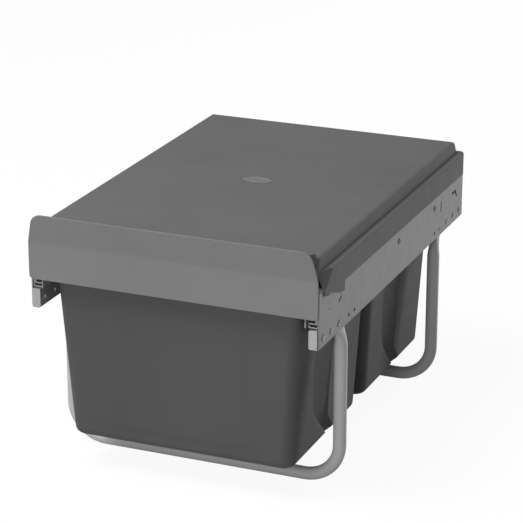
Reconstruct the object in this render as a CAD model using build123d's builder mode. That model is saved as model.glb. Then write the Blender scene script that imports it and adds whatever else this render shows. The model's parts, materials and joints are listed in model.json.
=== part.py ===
"""Pull-out waste bin frame that stands on the floor of a kitchen cabinet.

Two U-shaped legs of bent tube carry a pair of sheet steel side plates. Each plate holds a
three-part ball-bearing slide. The slides carry a drawer: a front fascia, two carrier rails, two
cross bars and two bins that hang from the rails by their rims. A moulded lid sits on the plates
and stays in the cabinet, so the bins open as they roll out from under it.

X runs across the cabinet, +Y runs to its back and +Z is up. The origin lies on the cabinet
floor, in the middle of the width and of the depth. All sizes are in millimetres.
"""
from build123d import *
import math
import os

os.makedirs("parts", exist_ok=True)

# Side plates
frame_width = 342.0         # over the outer faces of the two plates
plate_length = 490.0
plate_over_slide = 5.0      # from the top of the slide to the plates' upper edges
plate_bottom = 193.5        # lower edge of the plates above the floor
sheet = 1.5                 # thickness of all bent steel sheet
plate_flange = 8.0          # fold along the upper edge
plate_rear_flange = 14.0    # fold along the rear edge
plate_corner = 2.0
slot_width = 3.0            # of the punched slots, whose places are from the plates' ends
front_slot = (62.0, 37.0)
front_slot_length = 10.0
front_slot_turn = 30.0      # degrees from level, as all turns are
rear_slot = (84.0, 36.0)
rear_slot_length = 14.0
hook_slot = (34.0, 39.0)
hook_slot_length = 16.0
hook_slot_tail = 12.0
hook_slot_drop = (7.0, -3.5)
hook_slot_turn = -50.0
small_gap = 0.3             # between pieces of different bodies that pass or rest on each other

# Fascia
fascia_bottom = 34.5        # above the plates' lower edge
fascia_top = 111.0
fascia_shoulder = 78.0      # height at which the ends start to taper and the sheet leans forward
fascia_end_taper = 7.5
fascia_lean = 4.5
fascia_sheet = 2.0
fascia_hole_depth = 1.2     # of the blind threaded holes behind
fascia_standoff = 2.7       # from the plates' front edges to the fascia's back
fascia_top_corner = 13.0
fascia_low_corner = 5.0
fascia_bend = 36.0

# Tubular legs
tube_d = 15.0
tube_wall = 1.2
floor_bend = 41.0           # centre-line radius of the bends down at the floor
top_bend = 36.0             # centre-line radius of the bends under the plates
front_leg = 81.7            # from the plates' front edges to the front leg's centre line
rear_leg = 91.0             # from the plates' rear edges to the rear leg's centre line
pressed_width = 8.0         # the tube ends are pressed to this oval
pressed_height = 19.0
tube_end_inset = 5.0        # from the ends of the plates to the ends of the tubes
press_turn = 40.0           # the turn of the top bend, in degrees, over which the tube gets oval
floor_hole_d = 5.2
floor_hole_pitch = 200.0

# Base channels along the plates' lower edges
channel_width = 9.8
channel_height = 22.0
channel_sheet = 1.2
channel_bend = 2.0          # outer radius of its two folds
channel_reach = 2.0         # the closed front end stands out of the plate by this much
channel_slot_room = 3.0     # around the tube where it passes the lower flange

# Rivets through plate, pressed tube end and channel
rivet_d = 4.0
rivet_head_d = 6.6
rivet_head = 1.1
rivet_dimple_d = 2.6
rivet_dimple = 0.6
rivet_height = 9.5
rivet_pitch = 24.0
rivet_count = 3
rivet_first = 12.0

# Screw holes in the plates for the cabinet's sides
side_hole_d = 4.4
side_hole_first = 90.0
side_hole_pitch = 17.0
side_hole_height = 8.5
driver_hole_d = 9.0

# Ball-bearing slides
slide_length = plate_length - 40.0
slide_height = 35.0
slide_width = 12.7
slide_front = 2.0           # from the plates' front edges
slide_axis = 40.5           # centre of the slides above the plates' lower edges
slide_sheet = 1.2
ball_d = 3.2
ball_clearance = 0.05
member_gap = 0.8
retainer_length = 120.0
retainer_sheet = 0.5
retainer_start = 150.0
retainer_gap = 0.15         # from a retainer's back to the web that it rides along
balls_per_row = 4
buffer_length = 6.0
buffer_foot = 12.0          # of the strip that holds the buffer against the plate
buffer_corner = 1.5

# Fixings of the slides, from the plates' front edges
slide_rivets_from_rear = (236.0, 108.0)     # but these from the plates' rear edges
slide_tab_place = 30.0      # a tab of the slide hooks into an upright slot in the plate
slide_tab_width = 2.4
slide_tab_height = 7.0
slide_slot_width = 4.4
slide_slot_height = 9.0
rail_rivet_front = 30.0
rail_rivet_middle = 10.0    # ahead of the middle of the slide
rail_rivet_rear = 50.0      # from the slide's rear end

# Carrier rails and cross bars
rail_top = 80.0             # the rim shelf above the plates' lower edges
rail_bottom = 24.0
rail_shelf = 5.8
rail_front_flange = 11.0
rail_flange_low = 38.0
rail_flange_high = 74.0
cross_bar_height = 20.0
cross_bar_drop = 2.0        # below the rim shelf
cross_bar_tab = 10.0
rear_bar_gap = 1.0
fascia_screw_d = 4.0
fascia_screw_head_d = 7.5
fascia_screw_head = 2.0
fascia_screw_socket = 1.3   # depth of the hexagon in the head
fascia_screw_reach = 1.0    # by which the screw goes into the fascia

# Bins
bin_floor = -155.0          # from the plates' lower edges
bin_wall = 2.2
bin_side_room = 1.1         # between the bin's side and the rim shelf of the rail
bin_side_draft = 15.7       # how much narrower each side is at the bin's floor
bin_front_high = 5.0        # from the plates' front edges
bin_front_draft = 9.5
bin_pitch = slide_length / 2 - 2.0
bin_gap = 15.0              # between the two bins at the rim shelf
bin_rear_draft = 4.5
bin_corner = 20.0
bin_foot_round = 8.0
rim_thickness = 2.5
rim_lip = 6.0
rim_lip_wall = 1.8
rim_end_reach = 4.5         # how far the rim stands out at the bin's front and rear
rim_corner = 14.0
rim_round = 1.0
groove_depth = 4.2          # of the groove in each side, at its front edge
groove_start = 52.0         # from the bin's front wall to the groove's front edge, at the rim
groove_drift = 6.0          # by which that edge has gone to the rear at its foot
groove_width_high = 64.0
groove_width_low = 52.0
groove_front_foot = 49.0    # heights above the bin's floor at which the two edges turn
groove_rear_foot = 24.0
groove_fall = 40.0          # slope of the turned foot
groove_front_turn = 25.0
groove_rear_turn = 16.0
groove_end = 88.0           # the groove runs out at the floor this far behind its start
groove_end_high = 66.0      # and this far at the rim
panel_inset = 68.0          # from the bin's sides to the raised panel of its end walls
panel_rise = 0.6
panel_foot = 12.0

# Lid
lid_front = 12.0            # from the plates' front edges
lid_rear_inset = 2.0        # from the plates' rear edges
lid_top = 97.0              # above the plates' lower edges
lid_ledge = 83.0
lid_wall = 2.5
lid_skirt_wall = 2.0
lid_skirt_low = 54.5
lid_step = 8.3              # from the skirt's face to the side of the raised top
lid_taper = 10.0            # lean of the raised top's sides, in degrees
lid_top_round = 5.0
lid_ledge_round = 3.0
lid_corner = 5.0
lid_rear_low = 66.0         # lower edge of the rear wall, which passes over the plates
lip_depth = 6.0             # low lip along the lid's front edge
lip_top = 101.0
lip_lean = 16.8             # from the skirt's face to the end of the lip's top
facet_low = 64.0            # the lid's front corners are cut by a facet that starts here
facet_reach = 24.0          # and ends this far back along the skirt
lid_rib_width = 3.0
lid_rib_seat = 4.5          # of each rib's length that lies over the plate
lid_rib_front = 60.0        # from the plates' front edges to the first rib
lid_rib_rear = 50.0         # from their rear edges to the last one
# Lower outline of the skirts near the front: a tooth and a long pointed lug
lug_outline = ((12.0, 60.0), (14.0, 57.0), (19.0, 55.0), (26.0, 55.0), (28.6, 57.0), (34.6, 55.5),
               (66.8, 44.5), (69.5, 44.5), (71.0, 56.0))
boss_length = 36.0
boss_width = 20.0
boss_rise = 0.8
boss_shift = 10.0           # from the lid's middle towards the front

# Places that follow from the driving sizes
front_reach = fascia_standoff + fascia_sheet + fascia_lean
overall_depth = plate_length + front_reach
plate_front = front_reach - overall_depth / 2
plate_rear = plate_front + plate_length
plate_outer = frame_width / 2
plate_inner = plate_outer - sheet
plate_height = slide_axis + slide_height / 2 + plate_over_slide
plate_top = plate_bottom + plate_height
slide_z = plate_bottom + slide_axis
slide_y = plate_front + slide_front
slide_rivet_places = [plate_length - place for place in slide_rivets_from_rear]
rail_rivet_places = (rail_rivet_front, slide_length / 2 - rail_rivet_middle, slide_length - rail_rivet_rear)
lid_rib_places = (lid_rib_front, plate_length / 2, plate_length - lid_rib_rear)
slide_inner = plate_inner - slide_width
tube_r = tube_d / 2
tube_x = plate_inner - small_gap - pressed_width / 2
tube_end_z = plate_bottom + channel_height / 2
front_leg_y = plate_front + front_leg
rear_leg_y = plate_rear - rear_leg
rim_z = plate_bottom + rail_top
bin_half_width_high = slide_inner - rail_shelf - bin_side_room
bin_half_width_low = bin_half_width_high - bin_side_draft
bin_front_low = bin_front_high + bin_front_draft
bin_rear_high = bin_front_high + bin_pitch - bin_gap
bin_rear_low = bin_rear_high - bin_rear_draft


def across(y):
    """Section plane at depth y, drawn as seen from the front: local x is X and local y is Z."""
    return Plane.XZ.offset(-y)


def beside(x):
    """Section plane at width x, drawn as seen from the right: local x is Y and local y is Z."""
    return Plane.YZ.offset(x)


def save(part, name):
    """Label a finished piece and write it as one STEP file."""
    part.label = name
    export_step(part, f"parts/{name}.step")


def save_pair(part, name):
    """Write a right-hand piece and its mirror image."""
    save(mirror(part, about=Plane.YZ), f"left_{name}")
    save(part, f"right_{name}")


# Side plate: a flat web with folds along its upper and rear edges
with BuildPart() as side_plate:
    with BuildSketch(beside(plate_inner)):
        with Locations(((plate_front + plate_rear) / 2, (plate_bottom + plate_top) / 2)):
            RectangleRounded(plate_length, plate_height, plate_corner)
    extrude(amount=sheet)
    with BuildSketch(Plane.XY.offset(plate_top - sheet)):
        with Locations((plate_inner - plate_flange / 2, (plate_front + plate_rear) / 2)):
            Rectangle(plate_flange, plate_length - 4 * plate_corner)
    extrude(amount=sheet)
    with BuildSketch(across(plate_rear - sheet)):
        with Locations((plate_inner - plate_rear_flange / 2, (plate_bottom + plate_top) / 2)):
            Rectangle(plate_rear_flange, plate_height - 4 * plate_corner)
    extrude(amount=-sheet)
    # Rivet holes at the two lower ends, then the screw holes for the cabinet's sides
    with BuildSketch(beside(plate_inner)):
        for end, way in ((plate_front, 1), (plate_rear, -1)):
            for n in range(rivet_count):
                with Locations((end + way * (rivet_first + n * rivet_pitch), plate_bottom + rivet_height)):
                    Circle(rivet_d / 2)
            for n in range(2):
                with Locations((end + way * (side_hole_first + n * side_hole_pitch),
                                plate_bottom + side_hole_height)):
                    Circle(side_hole_d / 2)
        # Along the middle of the slide: two rivet holes and the slot for the slide's tab
        with Locations(*[(plate_front + place, slide_z) for place in slide_rivet_places]):
            Circle(rivet_d / 2)
        with Locations((plate_front + slide_tab_place, slide_z)):
            SlotOverall(slide_slot_height, slide_slot_width, rotation=90)
    extrude(amount=sheet, mode=Mode.SUBTRACT)
    # Hook slots near both ends and an upright slot ahead of the rear one
    with BuildSketch(beside(plate_inner)):
        with Locations((plate_front + front_slot[0], plate_bottom + front_slot[1])):
            SlotOverall(front_slot_length, slot_width, rotation=front_slot_turn)
        with Locations((plate_rear - rear_slot[0], plate_bottom + rear_slot[1])):
            SlotOverall(rear_slot_length, slot_width, rotation=90)
        with Locations((plate_rear - hook_slot[0], plate_bottom + hook_slot[1])):
            SlotOverall(hook_slot_length, slot_width)
        with Locations((plate_rear - hook_slot[0] + hook_slot_drop[0],
                        plate_bottom + hook_slot[1] + hook_slot_drop[1])):
            SlotOverall(hook_slot_tail, slot_width, rotation=hook_slot_turn)
    extrude(amount=sheet, mode=Mode.SUBTRACT)

# Base channel: open towards the plate and closed in front by a folded end
with BuildPart() as base_channel:
    channel_centre = plate_inner - channel_width / 2
    channel_mid_z = plate_bottom + channel_height / 2
    with BuildSketch(across(plate_front - channel_reach)) as channel_outline:
        with Locations((channel_centre, channel_mid_z)):
            Rectangle(channel_width, channel_height)
        inner_corners = channel_outline.vertices().group_by(Axis.X)[0]
        fillet(inner_corners, channel_bend)
    extrude(amount=-(plate_length + channel_reach - 2 * sheet))
    with BuildSketch(across(plate_front - channel_reach + channel_sheet)):
        with Locations((channel_centre + channel_sheet, channel_mid_z)):
            Rectangle(channel_width, channel_height - 2 * channel_sheet)
    extrude(amount=-plate_length, mode=Mode.SUBTRACT)
    # Slots in the lower flange where the legs come up through it
    with BuildSketch(Plane.XY.offset(plate_bottom)):
        for leg_y, way in ((front_leg_y, -1), (rear_leg_y, 1)):
            slot_length = top_bend + 2 * tube_r + 2 * channel_slot_room
            slot_mid = leg_y + way * (slot_length / 2 - tube_r - channel_slot_room)
            with Locations((channel_centre + channel_sheet, slot_mid)):
                Rectangle(channel_width, slot_length)
    extrude(amount=channel_sheet, mode=Mode.SUBTRACT)
    # Rivet holes and driver holes in the web
    with BuildSketch(beside(plate_inner - channel_width)):
        for end, way in ((plate_front, 1), (plate_rear, -1)):
            for n in range(rivet_count):
                with Locations((end + way * (rivet_first + n * rivet_pitch), plate_bottom + rivet_height)):
                    Circle(rivet_d / 2)
            for n in range(2):
                with Locations((end + way * (side_hole_first + n * side_hole_pitch),
                                plate_bottom + side_hole_height)):
                    Circle(driver_hole_d / 2)
    extrude(amount=channel_sheet, mode=Mode.SUBTRACT)


def leg_solid(leg_y, way, end_y, inset):
    """Solid of one U-shaped leg, shrunk by inset, whose tops turn to the way side along Y.

    The bar lies on the floor, two legs rise at the sides, and each top bends level and is
    pressed to an oval that lies along the side plate as far as end_y.
    """
    bend_z = tube_end_z - top_bend
    bend_centre = Vector(tube_x, leg_y + way * top_bend, bend_z)
    round_size = (tube_r - inset, tube_r - inset)
    oval_size = (pressed_width / 2 - inset, pressed_height / 2 - inset)

    def station(turn):
        """Section plane on the top bend after turning by so many degrees."""
        out = Vector(0, -way * math.cos(math.radians(turn)), math.sin(math.radians(turn)))
        along = Vector(0, way * math.sin(math.radians(turn)), math.cos(math.radians(turn)))
        return Plane(origin=bend_centre + out * top_bend, x_dir=(1, 0, 0), z_dir=along)

    with BuildPart() as half:
        # Half of the bar, the floor bend and the upright leg
        middle = floor_bend * math.sqrt(0.5)
        corner = Vector(tube_x - floor_bend, leg_y, tube_r + floor_bend)
        with BuildLine():
            Line((0, leg_y, tube_r), corner - Vector(0, 0, floor_bend))
            ThreePointArc(corner - Vector(0, 0, floor_bend), corner + Vector(middle, 0, -middle),
                          corner + Vector(floor_bend, 0, 0))
            Line(corner + Vector(floor_bend, 0, 0), (tube_x, leg_y, bend_z))
        with BuildSketch(Plane.YZ):
            with Locations((leg_y, tube_r)):
                Ellipse(*round_size)
        sweep()
        # The top bend turns towards the end of the plate and goes from round to oval
        for turns, sizes in (((0, press_turn / 2, press_turn), (round_size, oval_size)),
                             ((press_turn, (press_turn + 90) / 2, 90), (oval_size, oval_size))):
            with BuildLine():
                ThreePointArc(*[station(turn).origin for turn in turns])
            with BuildSketch(station(turns[0])):
                Ellipse(*sizes[0])
            with BuildSketch(station(turns[-1])):
                Ellipse(*sizes[-1])
            sweep(multisection=True)
        # The pressed end runs level along the plate
        with BuildSketch(station(90)):
            Ellipse(*oval_size)
        extrude(amount=abs(end_y - bend_centre.Y))
        mirror(about=Plane.YZ)
    return half.part


def tube_leg(leg_y, way):
    """Hollow U-shaped leg with floor screw holes and rivet holes."""
    plate_end = plate_front if way < 0 else plate_rear
    end_y = plate_end - way * tube_end_inset
    shell = leg_solid(leg_y, way, end_y, 0)
    core = leg_solid(leg_y, way, end_y, tube_wall)
    with BuildPart() as leg:
        add(shell)
        add(core, mode=Mode.SUBTRACT)
        with BuildSketch(Plane.XY):
            with Locations((-floor_hole_pitch / 2, leg_y), (floor_hole_pitch / 2, leg_y)):
                Circle(floor_hole_d / 2)
        extrude(amount=tube_d, mode=Mode.SUBTRACT)
        with BuildSketch(Plane.YZ):
            for n in range(rivet_count):
                rivet_y = plate_end - way * (rivet_first + n * rivet_pitch)
                with Locations((rivet_y, plate_bottom + rivet_height)):
                    Circle(rivet_d / 2)
        extrude(amount=plate_outer, both=True, mode=Mode.SUBTRACT)
    return leg.part


front_leg_tube = tube_leg(front_leg_y, -1)
rear_leg_tube = tube_leg(rear_leg_y, 1)


def open_channel(x_web, half_height, reach, way, thickness=slide_sheet, hook=0.0):
    """Draw a C-shaped slide section about the slide's axis, with optional hooked flange ends.

    The web starts at x_web and the flanges reach towards way, -1 being the cabinet's middle.
    """
    with Locations((x_web + way * thickness / 2, slide_z)):
        Rectangle(thickness, 2 * half_height)
    for side in (1, -1):
        with Locations((x_web + way * reach / 2, slide_z + side * (half_height - thickness / 2))):
            Rectangle(reach, thickness)
        if hook:
            with Locations((x_web + way * (reach - thickness / 2),
                            slide_z + side * (half_height - thickness - hook / 2))):
                Rectangle(thickness, hook)


# Heights of the three nested sections, each a ball and its clearance smaller than the last
race_drop = ball_d + 2 * ball_clearance + slide_sheet
outer_half = slide_height / 2
middle_half = outer_half - race_drop
inner_half = middle_half - race_drop
middle_web = plate_inner - slide_sheet - member_gap
outer_reach = slide_width - slide_sheet - small_gap
middle_reach = slide_width - 2 * slide_sheet - member_gap - small_gap
inner_reach = slide_width - 2 * slide_sheet - 2 * member_gap - slide_sheet
hook_drop = ball_d / 2
outer_ball_x = plate_inner - slide_width / 2
inner_ball_x = slide_inner + slide_sheet + inner_reach / 2

with BuildPart() as outer_member:
    with BuildSketch(across(slide_y)):
        open_channel(plate_inner, outer_half, outer_reach, -1, hook=hook_drop)
    extrude(amount=-slide_length)
    with BuildSketch(beside(plate_inner - slide_sheet)):
        with Locations(*[(plate_front + place, slide_z) for place in slide_rivet_places]):
            Circle(rivet_d / 2)
    extrude(amount=slide_sheet, mode=Mode.SUBTRACT)
    # Tab that hooks into the plate's upright slot
    with BuildSketch(beside(plate_inner)):
        with Locations((plate_front + slide_tab_place, slide_z)):
            RectangleRounded(slide_tab_width, slide_tab_height, slide_tab_width / 3)
    extrude(amount=sheet)

with BuildPart() as middle_member:
    with BuildSketch(across(slide_y)):
        open_channel(middle_web, middle_half, middle_reach, -1)
    extrude(amount=-slide_length)
    # Windows through which the outer member's rivets are reached
    with BuildSketch(beside(middle_web - slide_sheet)):
        with Locations(*[(plate_front + place, slide_z) for place in slide_rivet_places]):
            SlotOverall(2 * driver_hole_d, driver_hole_d)
    extrude(amount=slide_sheet, mode=Mode.SUBTRACT)

with BuildPart() as inner_member:
    with BuildSketch(across(slide_y)):
        open_channel(slide_inner, inner_half, inner_reach, 1)
    extrude(amount=-slide_length)
    with BuildSketch(beside(slide_inner)):
        with Locations(*[(plate_front + place, slide_z) for place in rail_rivet_places]):
            Circle(rivet_d / 2)
    extrude(amount=slide_sheet, mode=Mode.SUBTRACT)


def retainer(web_x, half_low, half_high, way, ball_x):
    """Ball retainer: a thin channel between two members, with a hole for each ball."""
    mid_half = (half_low + half_high) / 2 + retainer_sheet / 2
    pitch = retainer_length / balls_per_row
    flange = abs(ball_x - web_x) + ball_d
    with BuildPart() as cage:
        with BuildSketch(across(slide_y + retainer_start)):
            open_channel(web_x, mid_half, flange, way, thickness=retainer_sheet)
        extrude(amount=-retainer_length)
        with BuildSketch(Plane.XY.offset(slide_z - mid_half)):
            with Locations((ball_x, slide_y + retainer_start + retainer_length / 2)):
                with GridLocations(pitch, pitch, 1, balls_per_row):
                    Circle(ball_d / 2 + ball_clearance)
        extrude(amount=2 * mid_half, mode=Mode.SUBTRACT)
    return cage.part


def ball_rows(half_low, half_high, ball_x):
    """The balls of one slide, an upper and a lower row, as one group."""
    mid_half = (half_low + half_high) / 2
    pitch = retainer_length / balls_per_row
    with BuildPart() as balls:
        for side in (1, -1):
            with Locations((ball_x, slide_y + retainer_start + retainer_length / 2,
                            slide_z + side * mid_half)):
                with GridLocations(pitch, pitch, 1, balls_per_row):
                    Sphere(ball_d / 2)
    return balls.part


outer_race = (middle_half, outer_half - slide_sheet)
inner_race = (inner_half, middle_half - slide_sheet)
outer_retainer = retainer(plate_inner - slide_sheet - retainer_gap, *outer_race, -1, outer_ball_x)
inner_retainer = retainer(middle_web - slide_sheet - retainer_gap, *inner_race, -1, inner_ball_x)
outer_balls = ball_rows(*outer_race, outer_ball_x)
inner_balls = ball_rows(*inner_race, inner_ball_x)

# Rubber buffer that the inner member meets when the drawer is shut
with BuildPart() as slide_buffer:
    buffer_y = slide_y + slide_length + small_gap
    with BuildSketch(across(buffer_y)):
        with Locations(((plate_inner + slide_inner) / 2, slide_z)):
            RectangleRounded(slide_width, 2 * inner_half, buffer_corner)
    extrude(amount=-buffer_length)
    with BuildSketch(across(buffer_y)):
        with Locations((plate_inner - sheet, slide_z)):
            Rectangle(2 * sheet, 2 * inner_half)
    extrude(amount=-(buffer_length + buffer_foot))

# Cross bars lie between the two bins and behind the rear one
middle_bar_y = plate_front + (bin_rear_high + bin_front_high + bin_pitch) / 2 - sheet / 2
rear_bar_y = plate_front + bin_rear_high + bin_pitch + rim_end_reach + rear_bar_gap
bar_rivet_y = [bar_y + sheet + (cross_bar_tab - sheet) / 2 for bar_y in (middle_bar_y, rear_bar_y)]
bar_top = rim_z - cross_bar_drop
bar_mid_z = bar_top - cross_bar_height / 2

# Carrier rail: upright web on the inner member, rim shelf on top, fascia flange in front
with BuildPart() as carrier_rail:
    rail_front = plate_front - fascia_standoff
    rail_length = slide_y + slide_length - rail_front
    flange_mid_z = plate_bottom + (rail_flange_low + rail_flange_high) / 2
    flange_height = rail_flange_high - rail_flange_low
    with BuildSketch(across(rail_front)):
        with Locations((slide_inner - sheet / 2, plate_bottom + (rail_bottom + rail_top) / 2)):
            Rectangle(sheet, rail_top - rail_bottom)
        with Locations((slide_inner - rail_shelf / 2, rim_z - sheet / 2)):
            Rectangle(rail_shelf, sheet)
    extrude(amount=-rail_length)
    with BuildSketch(across(rail_front)) as fascia_flange:
        with Locations((slide_inner + rail_front_flange / 2, flange_mid_z)):
            Rectangle(rail_front_flange, flange_height)
        fillet(fascia_flange.vertices().group_by(Axis.X)[-1], plate_corner)
    extrude(amount=-sheet)
    screw_x = slide_inner + rail_front_flange / 2
    screw_heights = [plate_bottom + rail_flange_low + fascia_screw_head_d,
                     plate_bottom + rail_flange_high - fascia_screw_head_d]
    with BuildSketch(across(rail_front)):
        with Locations(*[(screw_x, z) for z in screw_heights]):
            Circle(fascia_screw_d / 2)
    extrude(amount=-sheet, mode=Mode.SUBTRACT)
    # Holes for the rivets that hold the rail to the inner member and to the cross bars
    with BuildSketch(beside(slide_inner - sheet)):
        with Locations(*[(plate_front + place, slide_z) for place in rail_rivet_places]):
            Circle(rivet_d / 2)
        with Locations(*[(y, bar_mid_z) for y in bar_rivet_y]):
            Circle(rivet_d / 2)
    extrude(amount=sheet, mode=Mode.SUBTRACT)


def cross_bar(bar_y, rivet_y):
    """Upright strip between the carrier rails, with an end folded back along each rail."""
    bar_half = slide_inner - sheet
    with BuildPart() as bar:
        with BuildSketch(Plane.XY.offset(bar_top - cross_bar_height)):
            with Locations((0, bar_y + sheet / 2)):
                Rectangle(2 * bar_half, sheet)
            for side in (1, -1):
                with Locations((side * (bar_half - sheet / 2), bar_y + cross_bar_tab / 2)):
                    Rectangle(sheet, cross_bar_tab)
        extrude(amount=cross_bar_height)
        with BuildSketch(Plane.YZ):
            with Locations((rivet_y, bar_mid_z)):
                Circle(rivet_d / 2)
        extrude(amount=bar_half, both=True, mode=Mode.SUBTRACT)
    return bar.part


middle_cross_bar = cross_bar(middle_bar_y, bar_rivet_y[0])
rear_cross_bar = cross_bar(rear_bar_y, bar_rivet_y[1])

# Fascia: a bent sheet, cut to its outline as seen from the front
with BuildPart() as fascia:
    low_z = plate_bottom + fascia_bottom
    knee_z = plate_bottom + fascia_shoulder
    high_z = plate_bottom + fascia_top
    back_y = plate_front - fascia_standoff
    with BuildSketch(beside(-plate_outer)):
        with BuildLine() as bend_line:
            bend = Polyline((back_y, low_z), (back_y, knee_z), (back_y - fascia_lean, high_z))
            fillet(bend_line.vertices().sort_by(Axis.Y)[1], fascia_bend)
            offset(amount=fascia_sheet, side=Side.LEFT)
        make_face()
    extrude(amount=frame_width)
    with BuildSketch(across(back_y + fascia_sheet)) as fascia_outline:
        with BuildLine():
            Polyline((-plate_outer, low_z), (plate_outer, low_z), (plate_outer, knee_z),
                     (plate_outer - fascia_end_taper, high_z), (fascia_end_taper - plate_outer, high_z),
                     (-plate_outer, knee_z), close=True)
        make_face()
        fillet(fascia_outline.vertices().group_by(Axis.Y)[-1], fascia_top_corner)
        fillet(fascia_outline.vertices().group_by(Axis.Y)[0], fascia_low_corner)
        shoulders = fascia_outline.vertices().filter_by_position(Axis.Y, knee_z - 1, knee_z + 1)
        fillet(shoulders, fascia_bend)
    extrude(amount=2 * front_reach, mode=Mode.INTERSECT)
    # Threaded holes behind, blind so that the face stays plain
    with BuildSketch(across(back_y)):
        with Locations(*[(side * screw_x, z) for side in (1, -1) for z in screw_heights]):
            Circle(fascia_screw_d / 2)
    extrude(amount=fascia_hole_depth, mode=Mode.SUBTRACT)


def between(low, high, z):
    """Value at height z of a bin size that goes from low at the floor to high at the rim."""
    return low + (high - low) * (z - bin_floor) / (rail_top - bin_floor)


def bin_box(inset, low_z, high_z, shift):
    """Tapered box with rounded upright corners that lies inset inside the bin's outer faces."""
    with BuildPart() as box:
        for z in (low_z, high_z):
            half_width = between(bin_half_width_low, bin_half_width_high, z) - inset
            front = between(bin_front_low, bin_front_high, z) + inset
            rear = between(bin_rear_low, bin_rear_high, z) - inset
            with BuildSketch(Plane.XY.offset(plate_bottom + z)):
                with Locations((0, plate_front + shift + (front + rear) / 2)):
                    RectangleRounded(2 * half_width, rear - front, bin_corner - inset)
        loft()
    return box.part


def side_groove(grow, shift):
    """Solid that sinks a groove into both sides, or with grow the room for its inner wall.

    The groove's edges run down the side, then turn to the rear and leave over the bin's foot.
    Its back is deepest at the front edge and meets the side just behind the rear one.
    """
    height = rail_top - bin_floor
    lean = (bin_half_width_high - bin_half_width_low) / height
    near = plate_front + shift + bin_front_high + groove_start
    side = Plane(origin=(bin_half_width_high, near, rim_z), x_dir=(0, 1, 0), z_dir=(1, 0, -lean))
    end_high = side.from_local_coords(Vector(groove_end_high, 0, 0))
    end_low = side.from_local_coords(Vector(groove_end, -height, 0))
    deepest = side.from_local_coords(Vector(0, 0, -groove_depth))
    back = Plane(origin=end_high, z_dir=(deepest - end_high).cross(end_low - end_high))
    block_depth = 2 * (groove_depth + grow)
    below = -height - bin_foot_round
    run = 1 / math.tan(math.radians(groove_fall))
    front_knee = (groove_drift - grow, groove_front_foot - height - grow)
    rear_knee = (groove_drift + groove_width_low + grow, groove_rear_foot - height + grow)
    with BuildPart() as block:
        with BuildSketch(side.offset(-block_depth)) as outline:
            with BuildLine():
                Polyline((-grow, rim_lip), front_knee, (front_knee[0] + run * (front_knee[1] - below), below),
                         (rear_knee[0] + run * (rear_knee[1] - below), below), rear_knee,
                         (groove_width_high + grow, rim_lip), close=True)
            make_face()
            corners = outline.vertices()
            fillet(corners.sort_by_distance(front_knee)[0], groove_front_turn + grow)
            fillet(corners.sort_by_distance(rear_knee)[0], groove_rear_turn)
        extrude(amount=2 * block_depth)
        split(bisect_by=back.offset(-grow), keep=Keep.TOP)
        mirror(about=Plane.YZ)
    return block.part


def make_bin(shift):
    """One bin: tapered shell, side grooves, front and rear panels and a rim with a hooked lip."""
    start = plate_front + shift
    rim_top = rail_top + rim_thickness
    rim_half = slide_inner + small_gap + rim_lip_wall
    rim_length = bin_rear_high - bin_front_high + 2 * rim_end_reach
    middle = start + (bin_front_high + bin_rear_high) / 2
    with BuildPart() as hollow:
        add(bin_box(bin_wall, bin_floor + bin_wall, rim_top, shift))
        fillet(hollow.faces().sort_by(Axis.Z)[0].edges(), bin_foot_round - bin_wall)
        add(side_groove(bin_wall, shift), mode=Mode.SUBTRACT)
    with BuildPart() as one_bin:
        add(bin_box(0, bin_floor, rail_top, shift))
        fillet(one_bin.faces().sort_by(Axis.Z)[0].edges(), bin_foot_round)
        # Raised middle panels of the front and rear walls
        for z, front, rear in ((bin_floor + panel_foot, bin_front_low, bin_rear_low),
                               (rail_top, bin_front_high, bin_rear_high)):
            with BuildSketch(Plane.XY.offset(plate_bottom + z)):
                with Locations((0, start + (front + rear) / 2)):
                    Rectangle(2 * (bin_half_width_high - panel_inset), rear - front + 2 * panel_rise)
        loft()
        add(side_groove(0, shift), mode=Mode.SUBTRACT)
        # Rim with a lip that hooks over the carrier rails
        with BuildSketch(Plane.XY.offset(rim_z - rim_lip)):
            with Locations((0, middle)):
                RectangleRounded(2 * rim_half, rim_length, rim_corner)
                RectangleRounded(2 * (rim_half - rim_lip_wall), rim_length - 2 * rim_lip_wall,
                                 rim_corner - rim_lip_wall, mode=Mode.SUBTRACT)
        extrude(amount=rim_lip)
        with BuildSketch(Plane.XY.offset(rim_z)):
            with Locations((0, middle)):
                RectangleRounded(2 * rim_half, rim_length, rim_corner)
        extrude(amount=rim_thickness)
        fillet(one_bin.faces().sort_by(Axis.Z)[-1].edges(), rim_round)
        # Notches that let the rails pass under the rim at its ends
        passage = rail_shelf + 2 * small_gap
        with BuildSketch(Plane.XY.offset(rim_z - rim_lip)):
            for side in (1, -1):
                with Locations((side * (slide_inner + small_gap - passage / 2), middle)):
                    Rectangle(passage, rim_length)
        extrude(amount=rim_lip, mode=Mode.SUBTRACT)
        add(hollow.part, mode=Mode.SUBTRACT)
    return one_bin.part


front_bin = make_bin(0.0)
rear_bin = make_bin(bin_pitch)

skirt_inner = plate_outer + small_gap
skirt_outer = skirt_inner + lid_skirt_wall
lug_low = plate_bottom + min(z for y, z in lug_outline)
front_y = plate_front + lid_front
rear_y = plate_rear - lid_rear_inset
ledge_z = plate_bottom + lid_ledge
top_mid_y = (front_y + rear_y - lid_step) / 2
top_length = rear_y - lid_step - front_y
top_half = skirt_outer - lid_step


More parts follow.
